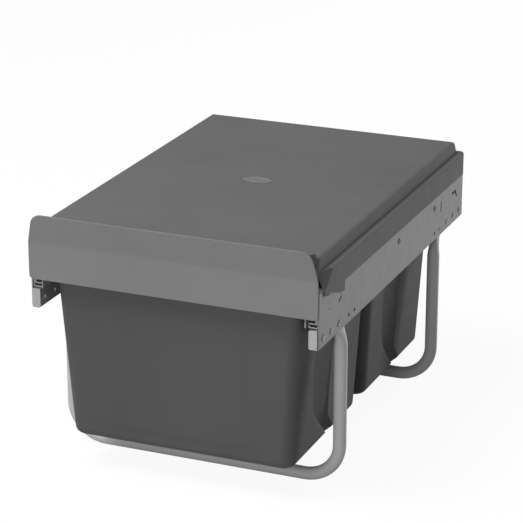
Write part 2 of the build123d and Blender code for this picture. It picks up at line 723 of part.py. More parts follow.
def front_facets(inset):
    """Two solids that cut the lid's front corners back to a sloping facet, moved in by inset."""
    low = Vector(skirt_outer, front_y, plate_bottom + facet_low)
    high = Vector(skirt_outer - lip_lean, front_y, plate_bottom + lip_top)
    back = Vector(skirt_outer, front_y + facet_reach, ledge_z)
    outward = (high - low).cross(back - low)
    if outward.X < 0:
        outward = -outward
    with BuildPart() as cut:
        with BuildSketch(Plane(origin=low, z_dir=outward).offset(-inset)):
            Rectangle(plate_length, plate_length)
        extrude(amount=frame_width / 4)
        mirror(about=Plane.YZ)
    return cut.part


# The space inside the lid: under the raised top and, wider, between the skirts
with BuildPart() as lid_inside:
    with BuildSketch(Plane.XY.offset(lug_low - lid_wall)):
        with Locations((0, (front_y + rear_y) / 2 - lid_wall)):
            Rectangle(2 * skirt_inner, rear_y - front_y)
    extrude(amount=ledge_z - lid_skirt_wall - lug_low + lid_wall)
    with BuildSketch(Plane.XY.offset(ledge_z - 2 * lid_skirt_wall)):
        with Locations((0, top_mid_y - 2 * lid_wall)):
            Rectangle(2 * (top_half - lid_wall), top_length + 2 * lid_wall)
    extrude(amount=lid_top - lid_wall - lid_ledge + 2 * lid_skirt_wall, taper=lid_taper / 2)
    add(front_facets(lid_wall), mode=Mode.SUBTRACT)

# Lid: raised top over two skirts that hang outside the plates, open in front
with BuildPart() as lid:
    with BuildSketch(Plane.XY.offset(lug_low)) as footprint:
        with Locations((0, (front_y + rear_y) / 2)):
            Rectangle(2 * skirt_outer, rear_y - front_y)
        fillet(footprint.vertices().group_by(Axis.Y)[-1], lid_corner)
    extrude(amount=ledge_z - lug_low)
    ledge_rim = lid.faces().sort_by(Axis.Z)[-1].edges()
    fillet(ledge_rim.sort_by(Axis.Y)[1:], lid_ledge_round)
    with BuildSketch(Plane.XY.offset(ledge_z)):
        with Locations((0, top_mid_y)):
            Rectangle(2 * top_half, top_length)
    extrude(amount=lid_top - lid_ledge, taper=lid_taper)
    top_rim = lid.faces().sort_by(Axis.Z)[-1].edges()
    fillet(top_rim.sort_by(Axis.Y)[1:], lid_top_round)
    # Low lip along the front edge, then the facets that cut it and the skirts back
    with BuildSketch(across(front_y)):
        with Locations((0, plate_bottom + (lid_ledge + lip_top) / 2)):
            Rectangle(2 * (skirt_outer - lip_lean + lid_top_round), lip_top - lid_ledge)
    extrude(amount=-lip_depth)
    add(front_facets(0), mode=Mode.SUBTRACT)
    add(lid_inside.part, mode=Mode.SUBTRACT)
    # Trim the skirts to their lower outline and the rear wall to pass over the plates
    with BuildSketch(beside(-skirt_outer)):
        with BuildLine():
            points = [(plate_front + y, plate_bottom + z) for y, z in lug_outline]
            Polyline((front_y, lug_low - lid_wall), *points, (rear_y, plate_bottom + lid_skirt_low),
                     (rear_y, lug_low - lid_wall), close=True)
        make_face()
    extrude(amount=2 * skirt_outer, mode=Mode.SUBTRACT)
    with BuildSketch(across(rear_y - lid_step)):
        with Locations((0, (lug_low + plate_bottom + lid_rear_low) / 2)):
            Rectangle(2 * skirt_inner, plate_bottom + lid_rear_low - lug_low)
    extrude(amount=-lid_step, mode=Mode.SUBTRACT)
    # Ribs inside the skirts that rest on the plates' upper folds
    rib_height = ledge_z - lid_skirt_wall - plate_top - small_gap
    with BuildSketch(beside(plate_outer - lid_rib_seat)):
        for place in lid_rib_places:
            with Locations((plate_front + place, plate_top + small_gap + rib_height / 2)):
                Rectangle(lid_rib_width, rib_height)
    extrude(amount=skirt_inner - plate_outer + lid_rib_seat)
    mirror(about=Plane.YZ)

# Plain oval boss in the middle of the lid
with BuildPart() as lid_boss:
    with BuildSketch(Plane.XY.offset(plate_bottom + lid_top)):
        with Locations((0, (front_y + rear_y) / 2 - boss_shift)):
            Ellipse(boss_length / 2, boss_width / 2)
    extrude(amount=boss_rise)
    fillet(lid_boss.edges().group_by(Axis.Z)[-1], boss_rise / 2)


def rivets(places, x_out, x_in, head_in=rivet_head):
    """A group of rivets along X at (y, z) places on both sides of the frame.

    They go from the outer surface at x_out to the inner one at x_in, and are flush there when
    head_in is 0.
    """
    with BuildPart() as group:
        for x_head, thickness in ((x_out, rivet_head), (x_in, -head_in)):
            if thickness:
                with BuildSketch(beside(x_head)):
                    with Locations(*places):
                        Circle(rivet_head_d / 2)
                extrude(amount=thickness)
        with BuildSketch(beside(x_in)):
            with Locations(*places):
                Circle(rivet_d / 2)
        extrude(amount=x_out - x_in)
        with BuildSketch(beside(x_out + rivet_head)):
            with Locations(*places):
                Circle(rivet_dimple_d / 2)
        extrude(amount=-rivet_dimple, mode=Mode.SUBTRACT)
        mirror(about=Plane.YZ)
    return group.part


end_places = [(end + way * (rivet_first + n * rivet_pitch), plate_bottom + rivet_height)
              for end, way in ((plate_front, 1), (plate_rear, -1)) for n in range(rivet_count)]
plate_rivets = rivets(end_places, plate_outer, plate_inner - channel_width)
slide_places = [(plate_front + place, slide_z) for place in slide_rivet_places]
slide_rivets = rivets(slide_places, plate_outer, plate_inner - slide_sheet, head_in=0)
rail_places = [(plate_front + place, slide_z) for place in rail_rivet_places]
rail_rivets = rivets(rail_places, slide_inner + slide_sheet, slide_inner - sheet)
bar_rivets = rivets([(y, bar_mid_z) for y in bar_rivet_y], slide_inner, slide_inner - 2 * sheet)

# Screws that hold the fascia, put in from behind
with BuildPart() as fascia_screws:
    screw_places = [(side * screw_x, z) for side in (1, -1) for z in screw_heights]
    with BuildSketch(across(rail_front + sheet)):
        with Locations(*screw_places):
            Circle(fascia_screw_head_d / 2)
            RegularPolygon(fascia_screw_d / 2, 6, mode=Mode.SUBTRACT)
    extrude(amount=-fascia_screw_head)
    with BuildSketch(across(rail_front + sheet + fascia_screw_head - fascia_screw_socket)):
        with Locations(*screw_places):
            Circle(fascia_screw_d / 2)
    extrude(amount=fascia_screw_head - fascia_screw_socket + sheet + fascia_screw_reach)

save_pair(side_plate.part, "side_plate")
save_pair(base_channel.part, "base_channel")
save(front_leg_tube, "front_leg_tube")
save(rear_leg_tube, "rear_leg_tube")
save(plate_rivets, "plate_rivets")
save_pair(outer_member.part, "outer_member")
save(slide_rivets, "slide_rivets")
save_pair(slide_buffer.part, "slide_buffer")
save_pair(middle_member.part, "middle_member")
save_pair(outer_retainer, "outer_retainer")
save_pair(outer_balls, "outer_balls")
save_pair(inner_retainer, "inner_retainer")
save_pair(inner_balls, "inner_balls")
save_pair(inner_member.part, "inner_member")
save_pair(carrier_rail.part, "carrier_rail")
save(rail_rivets, "rail_rivets")
save(middle_cross_bar, "middle_cross_bar")
save(rear_cross_bar, "rear_cross_bar")
save(bar_rivets, "bar_rivets")
save(fascia.part, "fascia")
save(fascia_screws.part, "fascia_screws")
save(front_bin, "front_bin")
save(rear_bin, "rear_bin")
save(lid.part, "lid")
save(lid_boss.part, "lid_boss")
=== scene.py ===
# %% [markdown]
# # Pull-out bin frame in the studio
#
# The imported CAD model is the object: folded steel plates, bent tube legs, ball-bearing slides,
# two hanging bins and a moulded lid. This notebook gives every surface the finish of the real
# thing, makes the bins and the lid's boss again with their softer forms, and sets up the studio,
# the lamps and the camera.
#
# All lengths are in metres. X runs across the cabinet, +Y to its back and +Z up.

# %% Load the frame
import json
import math

import bpy
import numpy as np
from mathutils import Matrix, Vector


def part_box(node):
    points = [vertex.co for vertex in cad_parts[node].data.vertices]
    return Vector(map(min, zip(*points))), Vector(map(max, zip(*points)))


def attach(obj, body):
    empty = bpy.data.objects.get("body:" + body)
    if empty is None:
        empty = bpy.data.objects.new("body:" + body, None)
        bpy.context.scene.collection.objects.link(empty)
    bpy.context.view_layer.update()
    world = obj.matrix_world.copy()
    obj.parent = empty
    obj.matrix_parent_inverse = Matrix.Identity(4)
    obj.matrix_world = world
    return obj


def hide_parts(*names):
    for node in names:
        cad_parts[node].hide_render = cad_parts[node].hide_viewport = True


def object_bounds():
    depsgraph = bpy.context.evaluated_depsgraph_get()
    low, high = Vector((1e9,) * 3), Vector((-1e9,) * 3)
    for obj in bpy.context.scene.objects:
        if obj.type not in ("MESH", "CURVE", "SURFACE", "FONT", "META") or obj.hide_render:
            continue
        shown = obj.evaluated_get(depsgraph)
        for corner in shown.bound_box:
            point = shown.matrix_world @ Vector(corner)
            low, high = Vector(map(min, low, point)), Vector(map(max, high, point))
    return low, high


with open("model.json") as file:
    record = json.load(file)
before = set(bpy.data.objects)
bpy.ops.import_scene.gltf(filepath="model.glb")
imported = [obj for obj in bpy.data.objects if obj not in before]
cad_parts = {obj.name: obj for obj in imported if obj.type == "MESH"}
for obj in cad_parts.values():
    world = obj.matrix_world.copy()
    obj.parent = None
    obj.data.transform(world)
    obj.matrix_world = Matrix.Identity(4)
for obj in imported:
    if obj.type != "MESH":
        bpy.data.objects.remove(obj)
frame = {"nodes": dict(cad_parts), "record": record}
cad_low, cad_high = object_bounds()
nodes = frame["nodes"]

# %% [markdown]
# ## Node helpers
#
# A finish could be one flat colour, but a real coat or moulding is never quite even. So each
# material here is a short chain of nodes: object coordinates feed one or two noises, the noises
# drift the colour and the roughness a little, and a fine grain goes into the bump. The last link
# is a Bevel node, which rounds the sharp CAD edges where light falls on them. Object coordinates
# travel with a piece when its joint moves it, so no pattern slides over a surface.

# %% Material and its coordinates
MM = 0.001


def new_material(name):
    """An empty node material with its Principled shader and its object coordinates."""
    material = bpy.data.materials.new(name)
    material.use_nodes = True
    tree = material.node_tree
    shader = tree.nodes["Principled BSDF"]
    coordinates = tree.nodes.new("ShaderNodeTexCoord")
    return material, tree, shader, coordinates.outputs["Object"]


def stretched(tree, vector, scale):
    """Object coordinates scaled along each axis, for streaks and flow marks."""
    mapping = tree.nodes.new("ShaderNodeMapping")
    mapping.inputs["Scale"].default_value = scale
    tree.links.new(vector, mapping.inputs["Vector"])
    return mapping.outputs["Vector"]


# %% Noise and what it drives
noise_low = 0.3                  # nearly all of a noise's values lie between these two
noise_high = 0.7


def noise(tree, vector, scale, detail=3.0, roughness=0.55):
    """A noise whose cells are about 1/scale metres wide."""
    node = tree.nodes.new("ShaderNodeTexNoise")
    node.inputs["Scale"].default_value = scale
    node.inputs["Detail"].default_value = detail
    node.inputs["Roughness"].default_value = roughness
    tree.links.new(vector, node.inputs["Vector"])
    return node.outputs["Fac"]


def drift(tree, factor, low, high, start=noise_low, end=noise_high):
    """Map a factor between start and end to a number between low and high."""
    node = tree.nodes.new("ShaderNodeMapRange")
    for name, value in (("From Min", start), ("From Max", end), ("To Min", low), ("To Max", high)):
        node.inputs[name].default_value = value
    tree.links.new(factor, node.inputs["Value"])
    return node.outputs["Result"]


def two_tones(tree, factor, grey, tint, spread):
    """A colour that wanders a share, spread, to both sides of one tinted grey."""
    ramp = tree.nodes.new("ShaderNodeValToRGB")
    dark_end, light_end = ramp.color_ramp.elements
    dark_end.position = noise_low
    dark_end.color = (*(grey * (1 - spread) * part for part in tint), 1)
    light_end.position = noise_high
    light_end.color = (*(grey * (1 + spread) * part for part in tint), 1)
    tree.links.new(factor, ramp.inputs["Fac"])
    return ramp.outputs["Color"]


# %% Relief
def relief(tree, shader, height, distance, strength, edge):
    """Bump the surface by a height, over edges rounded by a radius of edge."""
    bevel = tree.nodes.new("ShaderNodeBevel")
    bevel.samples = 4
    bevel.inputs["Radius"].default_value = edge
    bump = tree.nodes.new("ShaderNodeBump")
    bump.inputs["Distance"].default_value = distance
    bump.inputs["Strength"].default_value = strength
    tree.links.new(height, bump.inputs["Height"])
    tree.links.new(bevel.outputs["Normal"], bump.inputs["Normal"])
    tree.links.new(bump.outputs["Normal"], shader.inputs["Normal"])


# %% [markdown]
# ## Powder coat
#
# The side plates, the fascia, the carrier rails, the cross bars and the leg tubes are steel with
# a baked satin paint. The paint clouds a little where the powder lies thicker, and it has a faint
# orange peel where it flowed in the oven. The peel could be sculpted, but it is far finer than
# any mesh should be, so it is a bump.

# %% Powder coat
def powder_coat(name, grey, roughness=0.42):
    """Baked satin paint on steel."""
    material, tree, shader, place = new_material(name)
    clouds = noise(tree, place, scale=9.0)
    gloss = noise(tree, place, scale=60.0)
    peel = noise(tree, place, scale=900.0, detail=2.0)
    colour = two_tones(tree, clouds, grey, tint=(1.0, 1.0, 1.005), spread=0.035)
    tree.links.new(colour, shader.inputs["Base Color"])
    tree.links.new(drift(tree, gloss, roughness - 0.05, roughness + 0.06), shader.inputs["Roughness"])
    shader.inputs["Specular IOR Level"].default_value = 0.32
    relief(tree, shader, peel, distance=0.05 * MM, strength=0.35, edge=0.5 * MM)
    return material


# %% [markdown]
# ## Moulded plastic
#
# The bins and the lid are injection moulded. The mould's etched walls leave an even fine grain,
# and the flowing plastic leaves slow clouds, longer upwards than across. A low specular level
# keeps the dark plastic from looking wet.

# %% Moulded plastic
def moulded_plastic(name, grey, roughness, grain=0.5):
    """Injection-moulded plastic with an etched grain."""
    material, tree, shader, place = new_material(name)
    flow = noise(tree, stretched(tree, place, (5.0, 5.0, 2.0)), scale=1.6, detail=2.0)
    gloss = noise(tree, place, scale=35.0)
    etching = noise(tree, place, scale=1600.0, detail=3.0, roughness=0.7)
    colour = two_tones(tree, flow, grey, tint=(1.0, 1.0, 1.01), spread=0.04)
    tree.links.new(colour, shader.inputs["Base Color"])
    tree.links.new(drift(tree, gloss, roughness - 0.04, roughness + 0.06), shader.inputs["Roughness"])
    shader.inputs["Specular IOR Level"].default_value = 0.15
    relief(tree, shader, etching, distance=0.06 * MM, strength=grain, edge=0.6 * MM)
    return material


# %% [markdown]
# ## Zinc and rubber
#
# The base channels and the slide members are drawn strip with bright zinc on it, and the rivets
# and screws have it too. Zinc shows streaks along the strip, from a noise that is squeezed
# across it, and small cloudy crystals, from Voronoi cells in the roughness. The balls are the
# same metal without the streaks' direction. The slides' buffers are dull rubber.

# %% Zinc and rubber
def zinc_plate(name, grey, roughness=0.3, along=(30.0, 1.0, 30.0)):
    """Bright zinc on drawn steel strip."""
    material, tree, shader, place = new_material(name)
    streak = noise(tree, stretched(tree, place, along), scale=12.0, detail=4.0)
    crystals = tree.nodes.new("ShaderNodeTexVoronoi")
    crystals.inputs["Scale"].default_value = 260.0
    tree.links.new(place, crystals.inputs["Vector"])
    clouded = drift(tree, crystals.outputs["Distance"], roughness - 0.06, roughness + 0.14,
                    start=0.0, end=0.8)
    colour = two_tones(tree, streak, grey, tint=(0.99, 1.0, 1.02), spread=0.1)
    tree.links.new(colour, shader.inputs["Base Color"])
    tree.links.new(clouded, shader.inputs["Roughness"])
    shader.inputs["Metallic"].default_value = 0.6
    relief(tree, shader, streak, distance=0.03 * MM, strength=0.4, edge=0.3 * MM)
    return material


def soft_rubber(name, grey):
    """Dull black rubber with a dusty bloom."""
    material, tree, shader, place = new_material(name)
    bloom = noise(tree, place, scale=140.0)
    pores = noise(tree, place, scale=1200.0)
    colour = two_tones(tree, bloom, grey, tint=(1.0, 1.0, 1.0), spread=0.3)
    tree.links.new(colour, shader.inputs["Base Color"])
    shader.inputs["Roughness"].default_value = 0.8
    relief(tree, shader, pores, distance=0.05 * MM, strength=0.5, edge=0.5 * MM)
    return material


# %% [markdown]
# ## Dressing the CAD nodes
#
# The record gives each CAD node a material slot. A finish is made once for each slot and put on
# every node that names it, so the left and right plates can't come out different.

# %% Dress the nodes
finishes = {
    "grey_paint": powder_coat("plate powder coat", 0.225),
    "fascia_grey": powder_coat("fascia powder coat", 0.18, roughness=0.46),
    "tube_grey": powder_coat("tube powder coat", 0.44),
    "zinc": zinc_plate("bright zinc", 0.41),
    "ball_steel": zinc_plate("polished ball steel", 0.6, roughness=0.18, along=(1.0, 1.0, 1.0)),
    "white_plastic": moulded_plastic("retainer plastic", 0.7, roughness=0.45),
    "black_rubber": soft_rubber("buffer rubber", 0.03),
    "bin_plastic": moulded_plastic("bin plastic", 0.08, roughness=0.55, grain=0.45),
    "lid_plastic": moulded_plastic("lid plastic", 0.118, roughness=0.6, grain=0.55),
}
slot_of = {part["node"]: part["material_slot"] for part in frame["record"]["subparts"]}
for name, node in nodes.items():
    node.data.materials.clear()
    node.data.materials.append(finishes[slot_of[name]])
print("dressed", len(nodes), "nodes in", len(finishes), "finishes")

# %% [markdown]
# ## Grids of points
#
# The moulded pieces are surfaces worked out with numpy. Each is a grid of points: one row per
# step of a profile, one column per step round the piece. Neighbouring points make the faces,
# and the first and last rows are closed with one flat face each. Smooth shading would blur the
# real creases, so edges steeper than an angle stay sharp.

# %% Grid to piece
crease_angle = math.radians(35)


def grid_faces(rows, columns, first):
    """Quads between neighbouring rows of a grid whose columns close into a ring."""
    row, column = np.meshgrid(np.arange(rows - 1), np.arange(columns), indexing="ij")
    here = first + row * columns + column
    beside = first + row * columns + (column + 1) % columns
    return np.stack([here, beside, beside + columns, here + columns], axis=-1).reshape(-1, 4)


def piece_from_grids(name, grids, body, replaced, finish):
    """One mesh object from closed grids of shape (rows, columns, 3), with capped ends.

    The cap of the first row runs backwards, so that it faces outwards as the last one does.
    """
    faces = []
    first = 0
    for grid in grids:
        rows, columns = grid.shape[:2]
        faces.extend(grid_faces(rows, columns, first).tolist())
        faces.append(list(range(first + columns - 1, first - 1, -1)))
        faces.append(list(range(first + (rows - 1) * columns, first + rows * columns)))
        first += rows * columns
    mesh = bpy.data.meshes.new(name)
    mesh.from_pydata(np.concatenate([grid.reshape(-1, 3) for grid in grids]).tolist(), [], faces)
    mesh.shade_smooth()
    mesh.set_sharp_from_angle(angle=crease_angle)
    mesh.materials.append(finish)
    piece = bpy.data.objects.new(name, mesh)
    bpy.context.scene.collection.objects.link(piece)
    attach(piece, body)
    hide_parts(replaced)
    print("made", name, "with", len(mesh.polygons), "faces")


# %% [markdown]
# ## Bins
#
# A real bin comes out of its mould as one shell: leaning walls, large corners, a rounded foot,
# a rim that hangs on the rails, and in each side a groove that turns to the rear at its foot.
# The groove's front edge fades in and its rear edge is crisp, which is hard to get from a
# bevelled box. A depth formula says it exactly, so the whole skin is one grid of rounded
# rectangles. They are stacked along a profile that goes up outside, over the rim and down inside.

# %% Bin sizes
bin_height = 235.0 * MM          # floor of the bin to the underside of its rim
wall = 2.2 * MM
half_high = 149.9 * MM           # half width of the bin at the rim, and at its floor
half_low = 134.2 * MM
front_draft = 9.5 * MM           # how far the front and rear walls lean in on the way down
rear_draft = 1.5 * MM
front_corner = 15.0 * MM         # upright corners, softer in front than behind
rear_corner = 8.0 * MM
foot_round = 8.0 * MM
rim_reach = 4.5 * MM             # how far the rim stands out in front and behind
rim_thickness = 2.5 * MM
rim_corner = 14.0 * MM
rim_edge = 1.0 * MM
lip_wall = 1.8 * MM
lip_drop = 6.0 * MM
lip_root = 0.2 * MM              # how far the lip's top goes up into the rim

# %% Groove and panel sizes
groove_start = 52.0 * MM         # front edge of the groove behind the bin's front, at the rim
groove_width = 64.0 * MM
groove_depth = 6.5 * MM
groove_drift = 7.0 * MM          # how far each edge leans towards the other on its way down
groove_fall = 40.0               # degrees at which the edges run to the rear near the foot
front_edge_turns = 49.0 * MM     # heights at which the edges turn to the rear
rear_edge_turns = 24.0 * MM
front_turn_width = 16.0 * MM     # how softly they turn
rear_turn_width = 10.0 * MM
fade_width = 5.0 * MM            # how softly the front edge fades in
crease_width = 1.6 * MM          # and how sharply the rear one ends
tail_high = 1.0 * MM             # scoop's end behind the rear edge, at the rim and at the floor
tail_low = 6.0 * MM
panel_half = 82.0 * MM           # half width of the raised panel in front and behind
panel_rise = 0.9 * MM
panel_edge = 1.2 * MM
panel_foot = 12.0 * MM           # heights at which the panel starts and is full
panel_full = 24.0 * MM

# %% Rows of the bin's grid
outer_rows = 92                  # rows on the straight part of the outer and the inner wall
inner_rows = 70
foot_rows = 7                    # rows round the foot
edge_rows = 5                    # rows round each edge of the rim

# %% [markdown]
# ### Ring of a rounded rectangle
#
# All rings of the bin have the same number of points, so that they can be joined row by row.
# The pattern of a ring is therefore made once, without any size. It says where each point sits
# on the inner rectangle and which way it faces, and the sizes come in ring by ring.

# %% Ring of a rounded rectangle
def ring_pattern(across, along, turn):
    """Unit pattern of a rounded rectangle, taken anticlockwise from above.

    Each sample has a place on the core rectangle, from -1 to 1 each way, and an outward normal.
    The numbers of samples are those on the front, on a side and round a corner.
    """
    front = np.linspace(-1, 1, across)
    side = np.linspace(-1, 1, along)
    bend = np.linspace(0, 90, turn + 2)[1:-1]
    straights = ((front, -1, -90), (1, side, 0), (-front, 1, 90), (-1, -side, 180))
    corners = ((1, -1), (1, 1), (-1, 1), (-1, -1))
    parts = []
    for (x, y, facing), (corner_x, corner_y) in zip(straights, corners):
        parts.append(np.stack(np.broadcast_arrays(x, y, facing)))
        parts.append(np.stack(np.broadcast_arrays(corner_x, corner_y, facing + bend)))
    core_x, core_y, degrees = np.concatenate(parts, axis=1)
    return np.stack([core_x, core_y, np.cos(np.radians(degrees)), np.sin(np.radians(degrees))])


def ring_points(pattern, half_x, front, rear, front_radius, rear_radius, z):
    """Grid of rings, one for each entry of the size arrays.

    A point is core * (half size - radius) + normal * radius. The radius goes over from the front
    one to the rear one along the straight sides.
    """
    core_x, core_y, normal_x, normal_y = pattern[:, None, :]
    sizes = (half_x, front, rear, front_radius, rear_radius, z)
    half_x, front, rear, front_radius, rear_radius, z = (size[:, None] for size in sizes)
    share = (core_y + 1) / 2
    radius = front_radius + (rear_radius - front_radius) * share
    x = core_x * (half_x - radius) + normal_x * radius
    y = (front + front_radius) * (1 - share) + (rear - rear_radius) * share + normal_y * radius
    return np.stack([x, y, np.broadcast_to(z, x.shape)], axis=-1)


# %% [markdown]
# ### Groove
#
# The groove stiffens the side. Cut as a channel it would have two hard edges, but light falls on
# the real one as on a scoop: its floor is deepest in front and comes out steeper and steeper,
# up to a crease behind. A parabola across the groove does just that.

# %% Groove in the side walls
def smooth_step(value, start, end):
    """Goes from 0 at start to 1 at end along 3t^2 - 2t^3, flat at both."""
    t = np.clip((value - start) / (end - start), 0.0, 1.0)
    return t * t * (3 - 2 * t)


def soft_over(value, width):
    """Zero below 0, equal to value above it, with a round turn about as wide as width."""
    return (value + np.sqrt(value * value + width * width)) / 2


def groove(y, height, grow):
    """Depth of the groove at a distance y behind the bin's front and a height above its floor.

    Both edges lean towards each other on the way down, and grow moves both away from the middle.
    Near the foot they turn to the rear and go on down at the fall's angle. With t going from 0
    at the front edge to 1 a tail's length behind the rear edge, the depth is 1 - t^2 of its
    greatest value, cut off at both edges.
    """
    y = y - groove_start
    down = (bin_height - height) / bin_height
    run = 1 / math.tan(math.radians(groove_fall))
    front_turn = run * soft_over(front_edge_turns - height, front_turn_width)
    rear_turn = run * soft_over(rear_edge_turns - height, rear_turn_width)
    front_edge = groove_drift * down + front_turn - grow
    rear_edge = groove_width - groove_drift * down + rear_turn + grow
    end = rear_edge + tail_high + (tail_low - tail_high) * down
    t = np.clip((y - front_edge) / (end - front_edge), 0, 1)
    past_front = smooth_step(y, front_edge, front_edge + fade_width)
    before_rear = 1 - smooth_step(y, rear_edge, rear_edge + crease_width)
    return groove_depth * (1 - t * t) * past_front * before_rear


# %% [markdown]
# ### Walls
#
# The outer and the inner wall are the same surface a wall's thickness apart, so one function
# makes both. It stacks plain rings first. Then it moves the points on the sides inwards for the
# groove, and those in front and behind outwards for a shallow raised panel.

# %% Profiles of the walls
mouth_height = bin_height + rim_thickness - rim_edge
foot_bend = np.radians(np.linspace(0, 90, foot_rows + 1))[:-1]


def outer_profile():
    """Heights and insets of the outer wall: a quarter circle round the foot, then straight up."""
    z = np.concatenate([foot_round * (1 - np.cos(foot_bend)),
                        np.linspace(foot_round, bin_height, outer_rows)])
    inset = np.concatenate([foot_round * (1 - np.sin(foot_bend)), np.zeros(outer_rows)])
    return z, inset


def inner_profile():
    """Heights and insets of the inner wall: straight down, then a quarter circle to the floor."""
    inner_round = foot_round - wall
    bend = foot_bend[::-1]
    z = np.concatenate([np.linspace(mouth_height, wall + inner_round, inner_rows),
                        wall + inner_round * (1 - np.cos(bend))])
    inset = np.concatenate([np.full(inner_rows, wall), wall + inner_round * (1 - np.sin(bend))])
    return z, inset


# %% Wall with its groove and panels
straight_normal = 0.999          # a normal this long along an axis belongs to a straight side


def wall_rings(pattern, front, rear, floor_z, z, inset, grow):
    """Rings of a wall that lies inset inside the outer faces.

    Half width, front and rear go in straight lines from the floor to the rim. A side point lies
    no further out than the half width less grow and the groove's depth. A front or rear point
    moves out by the panel's rise.
    """
    level = np.clip(z, 0, bin_height) / bin_height
    half_x = half_low + (half_high - half_low) * level
    y_front = front + front_draft * (1 - level)
    y_rear = rear - rear_draft * (1 - level)
    front_radius = np.maximum(front_corner - inset, front_corner / 4)
    rear_radius = np.maximum(rear_corner - inset, rear_corner / 4)
    rings = ring_points(pattern, half_x - inset, y_front + inset, y_rear - inset,
                        front_radius, rear_radius, floor_z + z)
    across, behind = rings[..., 0], rings[..., 1]
    height = z[:, None]

    on_side = np.abs(pattern[2]) > straight_normal
    limit = half_x[:, None] - grow - groove(behind - front, height, grow)
    rings[..., 0] = np.where(on_side, np.sign(across) * np.minimum(np.abs(across), limit), across)

    on_end = np.abs(pattern[3]) > straight_normal
    rise = 1 - smooth_step(np.abs(across), panel_half - panel_edge, panel_half + panel_edge)
    rise = panel_rise * rise * smooth_step(height, panel_foot, panel_full) * on_end
    rings[..., 1] += pattern[3] * rise
    return rings


# %% [markdown]
# ### Rim
#
# The rim is a flat ledge that lies on the carrier rails. A Bevel modifier could round its two
# upper edges, but the grid can do it too, with a few rows round each. Below the rim hangs a thin
# lip on each side, which stiffens it. The lips are closed strips of their own.

# %% Rim and mouth
def rim_rings(pattern, half_x, front, rear, floor_z):
    """Rings from under the rim up its side and a quarter circle over its outer edge."""
    bend = np.radians(np.linspace(0, 90, edge_rows))
    inset = np.concatenate([[0, 0], rim_edge * (1 - np.cos(bend))])
    z = np.concatenate([[0, rim_thickness / 2], rim_thickness - rim_edge + rim_edge * np.sin(bend)])
    radius = np.full(len(z), rim_corner)
    return ring_points(pattern, half_x - inset, front - rim_reach + inset, rear + rim_reach - inset,
                       radius, radius, floor_z + bin_height + z)


def mouth_rings(pattern, front, rear, floor_z):
    """Rings a quarter circle over the rim's inner edge, down to where the inner wall starts."""
    bend = np.radians(np.linspace(90, 0, edge_rows))[:-1]
    inset = wall - rim_edge * np.sin(bend)
    front_radius = np.full(len(bend), front_corner - wall)
    rear_radius = np.full(len(bend), rear_corner - wall)
    return ring_points(pattern, half_high - inset, front + inset, rear - inset,
                       front_radius, rear_radius, floor_z + mouth_height + rim_edge * np.cos(bend))


# %% Lip
def lip_strip(start, end, top_z, outward):
    """Closed strip that hangs from the rim between two corners, with a rounded lower edge.

    The section is a rectangle whose lower end is a half circle. It is carried in a straight line
    from start to end, and its outer face looks along outward.
    """
    half = lip_wall / 2
    bend = np.radians(np.linspace(360, 180, 9))
    section_out = np.concatenate([half * np.cos(bend), [-half, half]]) - half
    section_up = np.concatenate([half * np.sin(bend) - lip_drop + half, [lip_root, lip_root]])
    rows = []
    for x, y in (start, end):
        row = [x + outward[0] * section_out, y + outward[1] * section_out, top_z + section_up]
        rows.append(np.stack(row, axis=-1))
    return np.stack(rows)


def lip_strips(half_x, front, rear, top_z):
    """The strips of the right, left, rear and front side, each short of the rim's corners."""
    reach_x = half_x - rim_corner
    near_y = front + rim_corner
    far_y = rear - rim_corner
    return [lip_strip((half_x, near_y), (half_x, far_y), top_z, outward=(1, 0)),
            lip_strip((-half_x, far_y), (-half_x, near_y), top_z, outward=(-1, 0)),
            lip_strip((reach_x, rear), (-reach_x, rear), top_z, outward=(0, 1)),
            lip_strip((-reach_x, front), (reach_x, front), top_z, outward=(0, -1))]


# %% The two bins
pattern = ring_pattern(across=48, along=132, turn=9)
print("each ring of a bin has", pattern.shape[1], "points")
for name in ("front_bin", "rear_bin"):
    box_low, box_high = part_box(name)
    rim_half, floor_z = box_high[0], box_low[2]
    rim_front, rim_rear = box_low[1], box_high[1]
    front, rear = rim_front + rim_reach, rim_rear - rim_reach
    skin = np.concatenate([wall_rings(pattern, front, rear, floor_z, *outer_profile(), grow=0.0),
                           rim_rings(pattern, rim_half, front, rear, floor_z),
                           mouth_rings(pattern, front, rear, floor_z),
                           wall_rings(pattern, front, rear, floor_z, *inner_profile(), grow=wall)])
    lips = lip_strips(rim_half, rim_front, rim_rear, box_high[2] - rim_thickness)
    piece_from_grids(f"{name}_shell", [skin, *lips], "carriage", name,
                     finishes["bin_plastic"])

# %% [markdown]
# ## Oval boss
#
# The lid has a low oval boss in its middle with a raised rim round a flat field. It could be two
# scaled cylinders, but they would meet in hard steps. Here it is a profile of heights carried
# round an ellipse, in a plastic a little lighter and smoother than the lid's.

# %% Oval boss
# Each pair is a share of the boss's half size and a share of its height.
boss_side = [(1.0, -0.25), (1.0, 0.35), (0.992, 0.7), (0.975, 0.92)]
boss_rim = [(0.95, 1.0), (0.92, 0.98), (0.895, 0.8), (0.88, 0.5), (0.865, 0.25)]
boss_field = [(0.85, 0.15), (0.4, 0.15), (0.02, 0.15)]
boss_finish = moulded_plastic("boss plastic", 0.165, roughness=0.45, grain=0.3)


def oval_boss(low, high, steps=96):
    """Rows of the boss: the ellipse of its box times a share, at a share of the box's height."""
    share, level = np.array(boss_side + boss_rim + boss_field).T[:, :, None]
    angle = np.linspace(0, 2 * math.pi, steps, endpoint=False)
    middle = (np.array(low) + np.array(high)) / 2
    half = (np.array(high) - np.array(low)) / 2
    x = middle[0] + half[0] * share * np.cos(angle)
    y = middle[1] + half[1] * share * np.sin(angle)
    z = np.broadcast_to(low[2] + 2 * half[2] * level, x.shape)
    return np.stack([x, y, z], axis=-1)


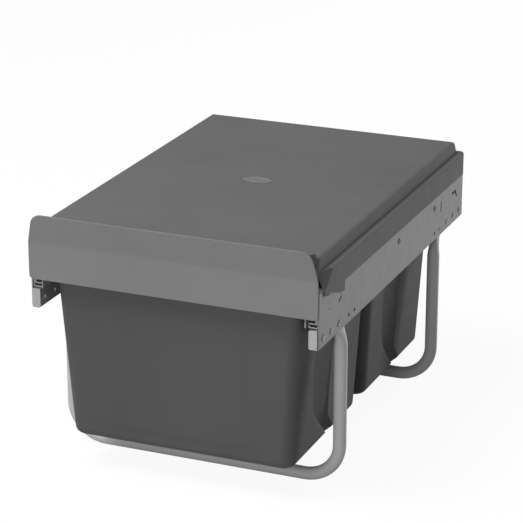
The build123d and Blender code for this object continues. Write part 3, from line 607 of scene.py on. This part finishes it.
boss_rows = oval_boss(*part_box("lid_boss"))
piece_from_grids("oval_boss", [boss_rows], "lid", "lid_boss", boss_finish)

# %% [markdown]
# ## Studio
#
# A product is photographed on a white sweep that runs up behind it. A white surround would do,
# but it would also light the object from all sides and wash it out. So the surround and the
# floor are white only for rays that come straight from the camera, and partly white for rays
# off a shiny surface. The light on the object comes from the lamps. The floor is a mix of that
# glow and plain matt grey, which keeps the object's shadow.

# %% White where it is seen
seen_in_gloss = 0.3              # how white the surround is for a ray off a shiny surface


def seen_directly(tree):
    """One for a ray from the camera, less for one off a shiny surface, and zero elsewhere."""
    path = tree.nodes.new("ShaderNodeLightPath")
    mirrored = tree.nodes.new("ShaderNodeMath")
    mirrored.operation = "MULTIPLY"
    mirrored.inputs[1].default_value = seen_in_gloss
    either = tree.nodes.new("ShaderNodeMath")
    either.operation = "MAXIMUM"
    tree.links.new(path.outputs["Is Glossy Ray"], mirrored.inputs[0])
    tree.links.new(path.outputs["Is Camera Ray"], either.inputs[0])
    tree.links.new(mirrored.outputs[0], either.inputs[1])
    return either.outputs[0]


# %% Floor
floor_grey = 0.48
floor_glow = 1.08                # strength of the white, and its share of the floor
glow_share = 0.86
floor_half = 12.0
floor_gap = 0.2 * MM             # below the lowest point of the legs


def floor_material():
    """Nearly white floor that keeps a faint shadow."""
    material = bpy.data.materials.new("studio floor")
    material.use_nodes = True
    tree = material.node_tree
    tree.nodes.clear()
    output = tree.nodes.new("ShaderNodeOutputMaterial")
    diffuse = tree.nodes.new("ShaderNodeBsdfDiffuse")
    diffuse.inputs["Color"].default_value = (floor_grey, floor_grey, floor_grey, 1)
    glow = tree.nodes.new("ShaderNodeEmission")
    glow.inputs["Strength"].default_value = floor_glow
    share = tree.nodes.new("ShaderNodeMath")
    share.operation = "MULTIPLY"
    share.inputs[1].default_value = glow_share
    mix = tree.nodes.new("ShaderNodeMixShader")
    tree.links.new(seen_directly(tree), share.inputs[0])
    tree.links.new(share.outputs[0], mix.inputs["Fac"])
    tree.links.new(diffuse.outputs[0], mix.inputs[1])
    tree.links.new(glow.outputs[0], mix.inputs[2])
    tree.links.new(mix.outputs[0], output.inputs["Surface"])
    return material


floor_corners = [(-floor_half, -floor_half, 0), (floor_half, -floor_half, 0),
                 (floor_half, floor_half, 0), (-floor_half, floor_half, 0)]
floor_mesh = bpy.data.meshes.new("studio_floor")
floor_mesh.from_pydata(floor_corners, [], [(0, 1, 2, 3)])
floor_mesh.materials.append(floor_material())
floor = bpy.data.objects.new("studio_floor", floor_mesh)
floor.location.z = cad_low.z - floor_gap
bpy.context.scene.collection.objects.link(floor)
print("floor", 2 * floor_half, "m wide")

# %% Surround
ambient_strength = 0.06


def surround_world():
    """White where it is seen, and a faint even light for everything else."""
    world = bpy.data.worlds.new("studio surround")
    world.use_nodes = True
    tree = world.node_tree
    tree.nodes.clear()
    white = tree.nodes.new("ShaderNodeBackground")
    white.inputs["Strength"].default_value = 1.0
    ambient = tree.nodes.new("ShaderNodeBackground")
    ambient.inputs["Color"].default_value = (0.98, 0.99, 1.0, 1)
    ambient.inputs["Strength"].default_value = ambient_strength
    mix = tree.nodes.new("ShaderNodeMixShader")
    output = tree.nodes.new("ShaderNodeOutputWorld")
    tree.links.new(seen_directly(tree), mix.inputs["Fac"])
    tree.links.new(ambient.outputs[0], mix.inputs[1])
    tree.links.new(white.outputs[0], mix.inputs[2])
    tree.links.new(mix.outputs[0], output.inputs["Surface"])
    return world


bpy.context.scene.world = surround_world()
print("surround made")

# %% [markdown]
# ## Lamps
#
# Three soft lamps light the object. The front lamp lights the fascia and the bins' fronts. The
# side lamp stands low at the rear right and grazes the side, which draws the grooves. The top
# lamp comes from above on the left. An area lamp is used for each because its size softens the
# shadows. The side lamp is hidden from shiny surfaces, where it would draw hard light lines
# along every edge.

# %% Lamps
lamp_target = Vector((0.0, 0.0, 0.15))


def direction(azimuth, elevation):
    """Unit vector from the object towards a place round it, azimuth 0 being the front."""
    a, e = math.radians(azimuth), math.radians(elevation)
    return Vector((math.sin(a) * math.cos(e), -math.cos(a) * math.cos(e), math.sin(e)))


def turn_towards_object(thing, azimuth, elevation):
    """Turn a lamp or camera, which look along their own -Z, so that they look at the object."""
    thing.rotation_mode = "QUATERNION"
    thing.rotation_quaternion = (-direction(azimuth, elevation)).to_track_quat("-Z", "Y")


def soft_lamp(name, azimuth, elevation, distance, size, power, mirrored=True):
    """A square area lamp that faces the object and, if mirrored, shows in shiny surfaces."""
    light = bpy.data.lights.new(name, "AREA")
    light.size = size
    light.energy = power
    lamp = bpy.data.objects.new(name, light)
    lamp.visible_glossy = mirrored
    lamp.location = lamp_target + direction(azimuth, elevation) * distance
    turn_towards_object(lamp, azimuth, elevation)
    bpy.context.scene.collection.objects.link(lamp)
    print("lit", name, "with", power, "W")


soft_lamp("front lamp", azimuth=2, elevation=12, distance=3.0, size=1.7, power=39)
soft_lamp("side lamp", azimuth=154, elevation=8, distance=4.5, size=0.9, power=232, mirrored=False)
soft_lamp("top lamp", azimuth=-48, elevation=60, distance=3.0, size=1.6, power=100)

# %% [markdown]
# ## Camera
#
# The camera stands in front and to the right, a little above the lid. Its place, its turn and
# its focal length were fitted to the straight edges in the photograph. The fit gives the focal
# length in pixels. Blender wants millimetres on a sensor, so it is scaled by the sensor's width
# over the picture's width.

# %% Camera
camera_place = (0.9610, -2.2900, 1.0853)
camera_azimuth = 22.664
camera_elevation = 19.828
focal_pixels = 2239.2
picture_pixels = 523
sensor_width = 36.0

camera_data = bpy.data.cameras.new("camera")
camera_data.sensor_width = sensor_width
camera_data.lens = focal_pixels / picture_pixels * sensor_width
camera_data.clip_end = 50.0
camera = bpy.data.objects.new("camera", camera_data)
camera.location = camera_place
turn_towards_object(camera, camera_azimuth, camera_elevation)
bpy.context.scene.collection.objects.link(camera)
bpy.context.scene.camera = camera
bpy.context.scene.view_settings.view_transform = "Standard"
print("camera with a lens of", round(camera_data.lens, 1), "mm")
